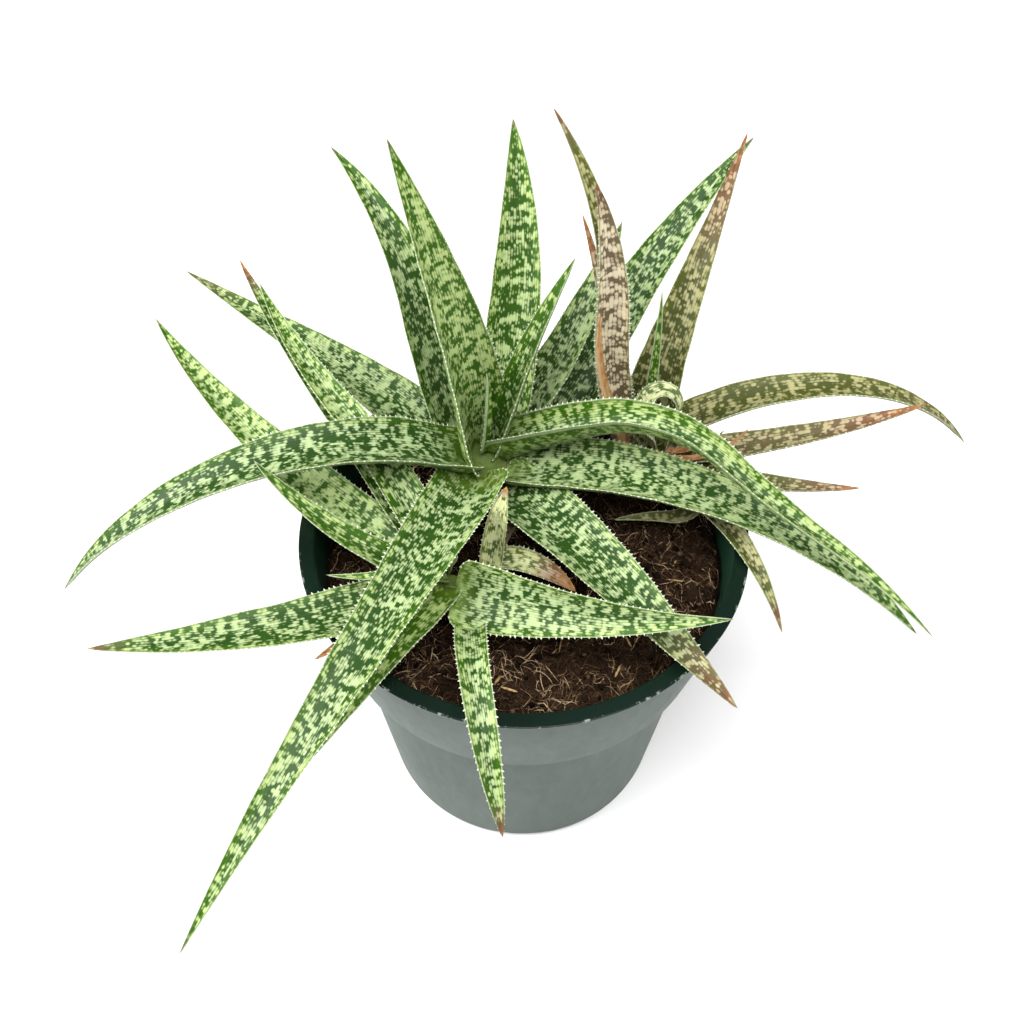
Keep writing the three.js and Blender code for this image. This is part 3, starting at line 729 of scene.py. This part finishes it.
def blade_skin(f, length, rings, seed):
    """A blade's closed skin: its points and faces, and for each point what the material reads,
    its distances along and across the blade and from the margin, and its shares of both."""
    top = np.sin(np.linspace(-1, 1, TOP_POINTS) * math.pi / 2)
    under = np.sin(np.linspace(1, -1, UNDER_POINTS) * math.pi / 2)
    half, fold, thick, edge, left, right = (
        row[:, None] for row in (f.half, f.fold, f.thick, f.edge, *f.lift)
    )

    def bowed(across):
        return fold * half * across**2 + np.where(across < 0, left, right) * across**4

    ridges = 0.1 * np.minimum(thick, 1) * np.cos(top * math.pi * 2.5) * (1 - top**2)
    over = bowed(top) - ridges
    below = bowed(under) - edge - (thick - edge) * np.maximum(1 - under**2, 0) ** 0.55
    outmost = half + edge * 0.35
    reach = np.hstack([half * top, outmost, half * under, -outmost])
    raised = np.hstack([over, over[:, -1:] - edge / 2, below, over[:, :1] - edge / 2])
    across = np.hstack([top, [1.02], under, [-1.02]])
    bow = np.maximum(fold, 0.01)
    steep = 2 * bow * across
    unrolled = half * (across * np.sqrt(1 + steep**2) + np.arcsinh(steep) / (2 * bow)) / 2
    points = f.middle[:, None] + f.side[:, None] * reach[..., None] + f.up[:, None] * raised[..., None]
    around = len(across)
    points = points[:rings].reshape(-1, 3)
    tip, base = len(points), len(points) + 1
    points = np.vstack([points, f.middle[-1], f.middle[0] - f.up[0] * f.thick[0] * 0.4])
    faces = []
    for k in range(around):
        after = (k + 1) % around
        for here in range(0, (rings - 1) * around, around):
            there = here + around
            faces.append((here + k, there + k, there + after, here + after))
        faces.append(((rings - 1) * around + k, tip, (rings - 1) * around + after))
        faces.append((k, after, base))
    along = np.repeat(f.shares[:rings] * length, around)
    is_under = np.tile(np.arange(around) > TOP_POINTS, rings)
    to_margin = np.repeat(f.half[:rings], around) * (1 - np.abs(np.tile(across, rings)))
    first = LEAF_STRETCH * seed
    ends = [[first + length, 0, 0], [first, 0, 3]]
    along = along + first + UNDER_STRETCH * is_under
    blade = np.vstack([np.c_[along, unrolled[:rings].ravel(), np.maximum(to_margin, 0)], ends])
    place = np.c_[np.repeat(f.shares[:rings], around), np.tile(across, rings), np.zeros(rings * around)]
    return points, faces, blade, np.vstack([place, [[1, 0, 0], [0, 0, 0]]])


def margin_teeth(f, rings, first, draw):
    """The teeth down both margins: points, faces and each point's share of the length."""
    points, faces, point_shares = [], [], []
    for sign, lift in zip((-1, 1), f.lift):
        run = f.middle + f.side * (f.half * sign)[:, None]
        run = run + f.up * (f.fold * f.half + lift - f.edge / 2)[:, None]
        outward = f.side * sign + f.up * (2 * f.fold)[:, None]
        outward /= np.linalg.norm(outward, axis=1)[:, None]
        travelled = np.r_[0, np.cumsum(np.linalg.norm(np.diff(run, axis=0), axis=1))]
        at = TOOTH_STEP * draw.uniform(2, 3)
        while at < travelled[-1] - 1.5:
            spot, out = (
                np.array([np.interp(at, travelled, axis) for axis in line.T]) for line in (run, outward)
            )
            half, share = np.interp(at, travelled, f.half), np.interp(at, travelled, f.shares)
            way = f.ahead[min(int(share * rings), rings)]
            size = min(1, 0.35 + 0.65 * half / 4.5) * draw.uniform(0.75, 1.15)
            normal = np.cross(way, out)
            start = first + len(points)
            for rise, girth, _ in TOOTH_RINGS:
                lean = TOOTH_LEAN * max(rise, 0) ** 1.4
                centre = spot + out * TOOTH_HEIGHT * size * rise + way * size * lean
                for angle in np.arange(TOOTH_SIDES) * 2 * math.pi / TOOTH_SIDES:
                    foot = way * math.cos(angle) * TOOTH_BASE + normal * math.sin(angle) * TOOTH_THICKNESS
                    points.append(centre + foot / 2 * girth * size)
            points.append(spot + (out * TOOTH_HEIGHT + way * TOOTH_LEAN) * size)
            last = start + (len(TOOTH_RINGS) - 1) * TOOTH_SIDES
            for corner in range(TOOTH_SIDES):
                after = (corner + 1) % TOOTH_SIDES
                for low in range(start, last, TOOTH_SIDES):
                    high = low + TOOTH_SIDES
                    faces.append((low + corner, low + after, high + after, high + corner))
                faces.append((last + corner, last + after, last + TOOTH_SIDES))
            faces.append(tuple(start + corner for corner in range(TOOTH_SIDES - 1, -1, -1)))
            point_shares += [share] * (len(TOOTH_RINGS) * TOOTH_SIDES + 1)
            at += TOOTH_STEP * draw.uniform(0.75, 1.25) * (1.25 - 0.35 * min(half / 6, 1))
    return points, faces, np.array(point_shares)


def make_leaf(
    rosette, name, seat, turn, rise, size, skin, slot,
    fold=(FOLD,), roll=(0,), fullness=FULLNESS, tone=0.0, cover=0.5, faded=0.0, tip=(0.96, 0.5),
):
    """One leaf. Its seat is its height, its distance from the stem's axis and, where it doesn't
    set off straight out, its compass angle. Turn, rise, fold and roll run along it, and its size
    is length, width and thickness. The tip is where it starts to die back and how dry it ends."""
    length, width, thickness = size
    leaf = SimpleNamespace(
        rosette=rosette, seat=seat, turn=turn, rise=rise, length=length, width=width,
        thickness=thickness, fold=fold, roll=roll, fullness=fullness,
    )
    seed = next(leaf_seeds)
    rings = max(16, round(length / RING_STEP))
    f = blade_frames(leaf, rings, seed)
    points, faces, blade, place = blade_skin(f, length, rings, seed)
    teeth, tooth_faces, along = margin_teeth(f, rings, len(points), random.Random(seed))
    white = [whiteness for *_, whiteness in TOOTH_RINGS for _ in range(TOOTH_SIDES)] + [1.0]
    white = np.tile(white, len(teeth) // len(white))
    blade = np.vstack([blade, np.c_[along * length, np.zeros((len(teeth), 2))]])
    place = np.vstack([place, np.c_[along, np.ones(len(teeth)), white]])
    start, peak = tip
    ripe = np.clip((place[:, 0] - start) / (1 - start), 0, 1)
    dryness = faded + (peak - faded) * ripe**0.8
    state = np.c_[np.full(len(dryness), tone), np.full(len(dryness), cover), dryness]
    piece = piece_of(f"{rosette}_{name}_blade", np.vstack([points, teeth]), faces + tooth_faces, skin)
    for label, values in (("blade", blade), ("place", place), ("state", state)):
        layer = piece.data.attributes.new(label, "FLOAT_VECTOR", "POINT")
        layer.data.foreach_set("vector", values.astype(np.float32).ravel())
    return stands_for(piece, f"{rosette}_{name}_leaf")


flecking, drying = fleck_group(), drying_group()
GREEN = dict(
    skin=leaf_skin(
        "leaf_green", seen(31, 58, 17), seen(50, 87, 8), seen(154, 172, 124), seen(164, 182, 114)),
    slot="leaf_green",
)
make_leaf("main", "heart", (140.5, 0), [-2], [84, 92], (38, 7, 2.4), tone=0.4, **GREEN)
make_leaf("main", "inner", (137, 3), [28, 32], [77, 59], (82, 13, 3.4), tone=0.2, cover=0.45, **GREEN)
make_leaf(
    "main", "tall", (136, 4), [148, 126], [89, 56], (119, 25.5, 4),
    fold=[0.6], fullness=1.5, tone=0.4, cover=0.55, **GREEN)
make_leaf(
    "main", "arching", (137, 4, 30), [-16, -9, -36, -31, -49], [41, 24, -21, -16, -19], (173, 12, 4.6),
    fold=[1.6, 0.2], tone=0.15, cover=0.54, **GREEN)
make_leaf("main", "long_left", (136, 5), [202, 188], [47, -14, -57], (170, 21.5, 4.6), tone=-0.1, **GREEN)
make_leaf(
    "main", "front", (134, 6), [252, 232], [20, -9, -40], (190, 27, 5),
    fullness=1, cover=0.52, **GREEN)
make_leaf("main", "broad_right", (132, 6), [-13, -30], [22, -6, -38], (159, 24, 5), cover=0.56, **GREEN)
make_leaf(
    "main", "back", (130, 10), [68, 101], [62, 50], (114, 19.5, 4.4),
    fullness=2.7, tone=0.2, cover=0.51, **GREEN)
make_leaf(
    "main", "back_left", (132, 5), [124, 127, 132], [48, 62, 14], (119, 28, 4.4),
    fullness=1.2, tone=0.05, **GREEN)
make_leaf(
    "main", "left", (127, 6), [141, 143], [14, 0, 3], (147, 25, 4.6),
    fullness=1.2, cover=0.55, tip=(0.7, 0.4), **GREEN)
make_leaf(
    "main", "short_right", (129, 6), [-51, -51], [21, -2, -4], (121, 25, 4.6),
    tone=-0.1, tip=(0.6, 0.55), **GREEN)
make_leaf(
    "main", "back_right", (125, 13, 20), [55, 38], [22, 41, 33], (143, 24, 4.8),
    tone=-0.1, cover=0.5, **GREEN)
make_leaf(
    "main", "back_short", (129, 12, 70), [29, 73], [45, 45, 19], (93, 18, 4),
    tone=-0.1, cover=0.55, faded=0.1, **GREEN)

# ------------------------------------------------------------ the leaves of the front rosette
# Nine leaves of a smaller rosette at the pot's front, thinner and more yellow at their bases, one
# of them long and dying back from its tip. They clasp the front stem. A tenth, dried up, comes
# further down.

make_leaf("front", "upper_left", (131, 4), [178, 147], [25, 40], (72, 11, 3), tone=0.3, **GREEN)
make_leaf(
    "front", "right", (134, 7.1, -71), [-20, -15], [5, 27], (92, 25.5, 3.6),
    roll=[36, 68], fullness=0.9, cover=0.55, **GREEN)
make_leaf("front", "low_left", (130, 3), [-119, -134], [24, -15, -34], (94, 17, 4), tone=0.8, **GREEN)
make_leaf(
    "front", "over_rim", (122, 10.3, -46), [-91, -80, -71], [43, 21, -35, -63], (92, 10, 3),
    fullness=3.8, cover=0.55, tip=(0.84, 0.66), **GREEN)
make_leaf(
    "front", "level_left", (128, 3), [212, 181], [15, -4], (115, 20.5, 4),
    fold=[0.25], tip=(0.85, 0.5), **GREEN)
make_leaf(
    "front", "broad_left", (126, 5), [149, 125], [16, 5, 8], (151, 19, 4),
    tone=0.25, cover=0.57, **GREEN)
make_leaf(
    "front", "back_left", (130, 4), [119, 131, 114], [27, 12, 2], (133, 14, 3.4),
    tone=0.15, cover=0.55, **GREEN)
make_leaf(
    "front", "dry_tipped", (126, 4), [127, 125, 114], [26, 11, -9], (158, 11, 2.6),
    tip=(0.8, 0.8), **GREEN)
make_leaf("front", "small", (131, 1, 200), [204, 194, 165], [53, 8, -11], (43, 5, 1.6), tone=0.4, **GREEN)

# ------------------------------------------------------------- the leaves of the rear rosette
# Eleven thinner leaves of the rosette at the back right, which has had too much sun: olive with
# purple brown and pinkish cream, with dead brown tips, around a fresh green heart. They clasp the
# rear stem.

OLIVE = dict(
    skin=leaf_skin(
        "leaf_olive", seen(58, 64, 32), seen(74, 80, 24), seen(150, 148, 106), seen(160, 156, 108), 1.1),
    slot="leaf_olive",
)
FADED = dict(
    skin=leaf_skin(
        "leaf_faded", seen(92, 78, 60), seen(98, 86, 56), seen(204, 192, 164), seen(208, 194, 160), 1.2),
    slot="leaf_olive",
)
PALE = dict(
    skin=leaf_skin(
        "leaf_pale", seen(70, 88, 46), seen(92, 108, 38), seen(190, 196, 148), seen(202, 204, 144)),
    slot="leaf_pale",
)
make_leaf(
    "rear", "tall", (129, 5, 130), [171, 144, 137], [70, 90, 42], (133, 12, 3),
    roll=[-50], faded=0.1, tip=(0.88, 0.6), **OLIVE)
make_leaf(
    "rear", "tall_inner", (130, 5, -135), [178, 125, 162], [70, 88, 73], (113, 11.5, 2.6),
    roll=[-35], fullness=4, cover=0.55, faded=0.1, tip=(0.85, 0.6), **FADED)
make_leaf(
    "rear", "upright", (124, 6.5, 140), [119, 127], [78, 70, 56], (91, 8, 2.4),
    roll=[-45], faded=0.2, tip=(0.7, 0.75), **FADED)
make_leaf(
    "rear", "bright", (131, 3, 40), [60, 77, 89], [94, 88, 54], (65, 4.6, 2),
    tone=0.8, cover=0.5, **GREEN)
make_leaf(
    "rear", "curled", (131, 6, -80), [73, 32, 18, -66], [71, 121, 49, -110], (51, 8.5, 2),
    fold=[0.2], fullness=5, tone=-0.4, cover=0.62, faded=0.12, **PALE)
make_leaf(
    "rear", "back_right", (128, 4), [55, 60, 60], [88, 52, 55], (115, 25.5, 3.6),
    fullness=0.8, faded=0.1, tip=(0.55, 0.66), **OLIVE)
make_leaf(
    "rear", "right", (128, 5, 45), [12, -2], [37, -2, -55], (134, 15, 3.4),
    tone=0.2, faded=0.06, tip=(0.5, 0.3), **OLIVE)
make_leaf(
    "rear", "level_right", (125, 5), [-19, 16], [28, 11], (98, 13, 2.6),
    faded=0.3, tip=(0.6, 0.66), **OLIVE)
make_leaf(
    "rear", "low_right", (123, 5), [-40, -2], [25, 5], (77, 11.5, 2.2),
    faded=0.12, tip=(0.6, 0.66), **OLIVE)
make_leaf(
    "rear", "front_right", (123, 5), [-53, -63], [31, 1, -50], (86, 11, 2.6),
    tone=-0.2, cover=0.55, faded=0.1, tip=(0.85, 0.8), **OLIVE)
make_leaf(
    "rear", "low_front", (122, 5, -40), [-42, -54, -184, -174], [17, -7], (59, 9, 2.4),
    faded=0.2, **OLIVE)

# ------------------------------------------------------------------- the leaves of the side shoot
# Three short leaves of a young shoot between the rosettes, pale and netted with green, with
# orange brown tips. They come out of one papery sheath.

make_leaf(
    "pup", "heart", (122, 3, -70), [72, 56], [72, 66], (33, 8, 2),
    fullness=4, cover=0.63, tip=(0.82, 0.85), **PALE)
make_leaf(
    "pup", "side", (122, 2), [-20, -33], [38, -26], (33, 10.5, 2),
    fold=[0.5], fullness=2.4, cover=0.6, faded=0.14, tip=(0.42, 0.92), **PALE)
make_leaf("pup", "sheath", (121, 3), [60, 20], [60, 20], (16, 8, 1.6), cover=0.6, faded=0.5, **PALE)

# ------------------------------------------------------------------------------ the dried leaves
# Four small leaves that have died and shrunk to thin brown papery strips. They still hang on
# the stems that they grew from.

DRY = dict(
    skin=leaf_skin(
        "leaf_dry", seen(114, 86, 62), seen(124, 92, 62), seen(156, 128, 96), seen(162, 132, 98)),
    slot="leaf_dry",
)
make_leaf("front", "dry", (124, 4), [213, 230], [8, 20], (51, 8, 1.8), faded=0.75, **DRY)
make_leaf(
    "rear", "dry_strip", (124, 7, -110), [196, 188, 123], [75, 73, 93], (80, 5, 1.4),
    roll=[-45], faded=0.92, **DRY)
make_leaf("rear", "dry_upper", (132, 5, -60), [-39, 37], [7, 38], (40, 2.8, 1.4), faded=0.75, **DRY)
make_leaf("rear", "dry_lower", (131, 5, -30), [-19, 3], [3, 63], (30, 2.6, 1.4), faded=0.7, **DRY)

# ------------------------------------------------------------------------- floor, light and camera
# A plain white sweep under even studio light: one large soft lamp high on the left, one overhead
# and a weaker one on the right. The camera looks down on the plant from in front.

LAMPS = [  # name, place, size in metres and power in watts
    ("left_lamp", (-1.5, -0.2, 1.25), 1.5, 62),
    ("overhead_lamp", (0.15, -0.55, 1.9), 1.3, 48),
    ("right_lamp", (1.6, -0.2, 0.9), 1.3, 13),
]
LAMP_AIM, ROOM_LIGHT = Vector((0, 0, 0.1)), 0.18
CAMERA_PLACE, CAMERA_ANGLES = (0, -0.26846, 0.47987), (38.345, 0.005, 0.853)
SENSOR_WIDTH, FOCAL_LENGTH = 36, 45.703

bpy.ops.mesh.primitive_plane_add(size=9, location=(0, 0, -0.0002))
sweep = bpy.context.object
sweep.name = "white_floor"
paper, _, paper_shader = new_material("white_paper")
paper_shader.inputs["Base Color"].default_value = (0.92, 0.92, 0.92, 1)
paper_shader.inputs["Roughness"].default_value = 0.9
sweep.data.materials.append(paper)

for name, place, size, power in LAMPS:
    lamp = bpy.data.lights.new(name, "AREA")
    lamp.size, lamp.energy = size, power
    stand = bpy.data.objects.new(name, lamp)
    stand.location = place
    stand.rotation_euler = (LAMP_AIM - Vector(place)).to_track_quat("-Z", "Y").to_euler()
    bpy.context.scene.collection.objects.link(stand)

world = bpy.data.worlds.new("studio")
world.use_nodes = True
world.node_tree.nodes["Background"].inputs["Color"].default_value = (1, 1, 1, 1)
world.node_tree.nodes["Background"].inputs["Strength"].default_value = ROOM_LIGHT
bpy.context.scene.world = world
bpy.context.scene.view_settings.view_transform = "Standard"

camera = bpy.data.objects.new("camera", bpy.data.cameras.new("camera"))
camera.location = CAMERA_PLACE
camera.rotation_euler = [math.radians(angle) for angle in CAMERA_ANGLES]
camera.data.sensor_width, camera.data.lens = SENSOR_WIDTH, FOCAL_LENGTH
bpy.context.scene.collection.objects.link(camera)
bpy.context.scene.camera = camera
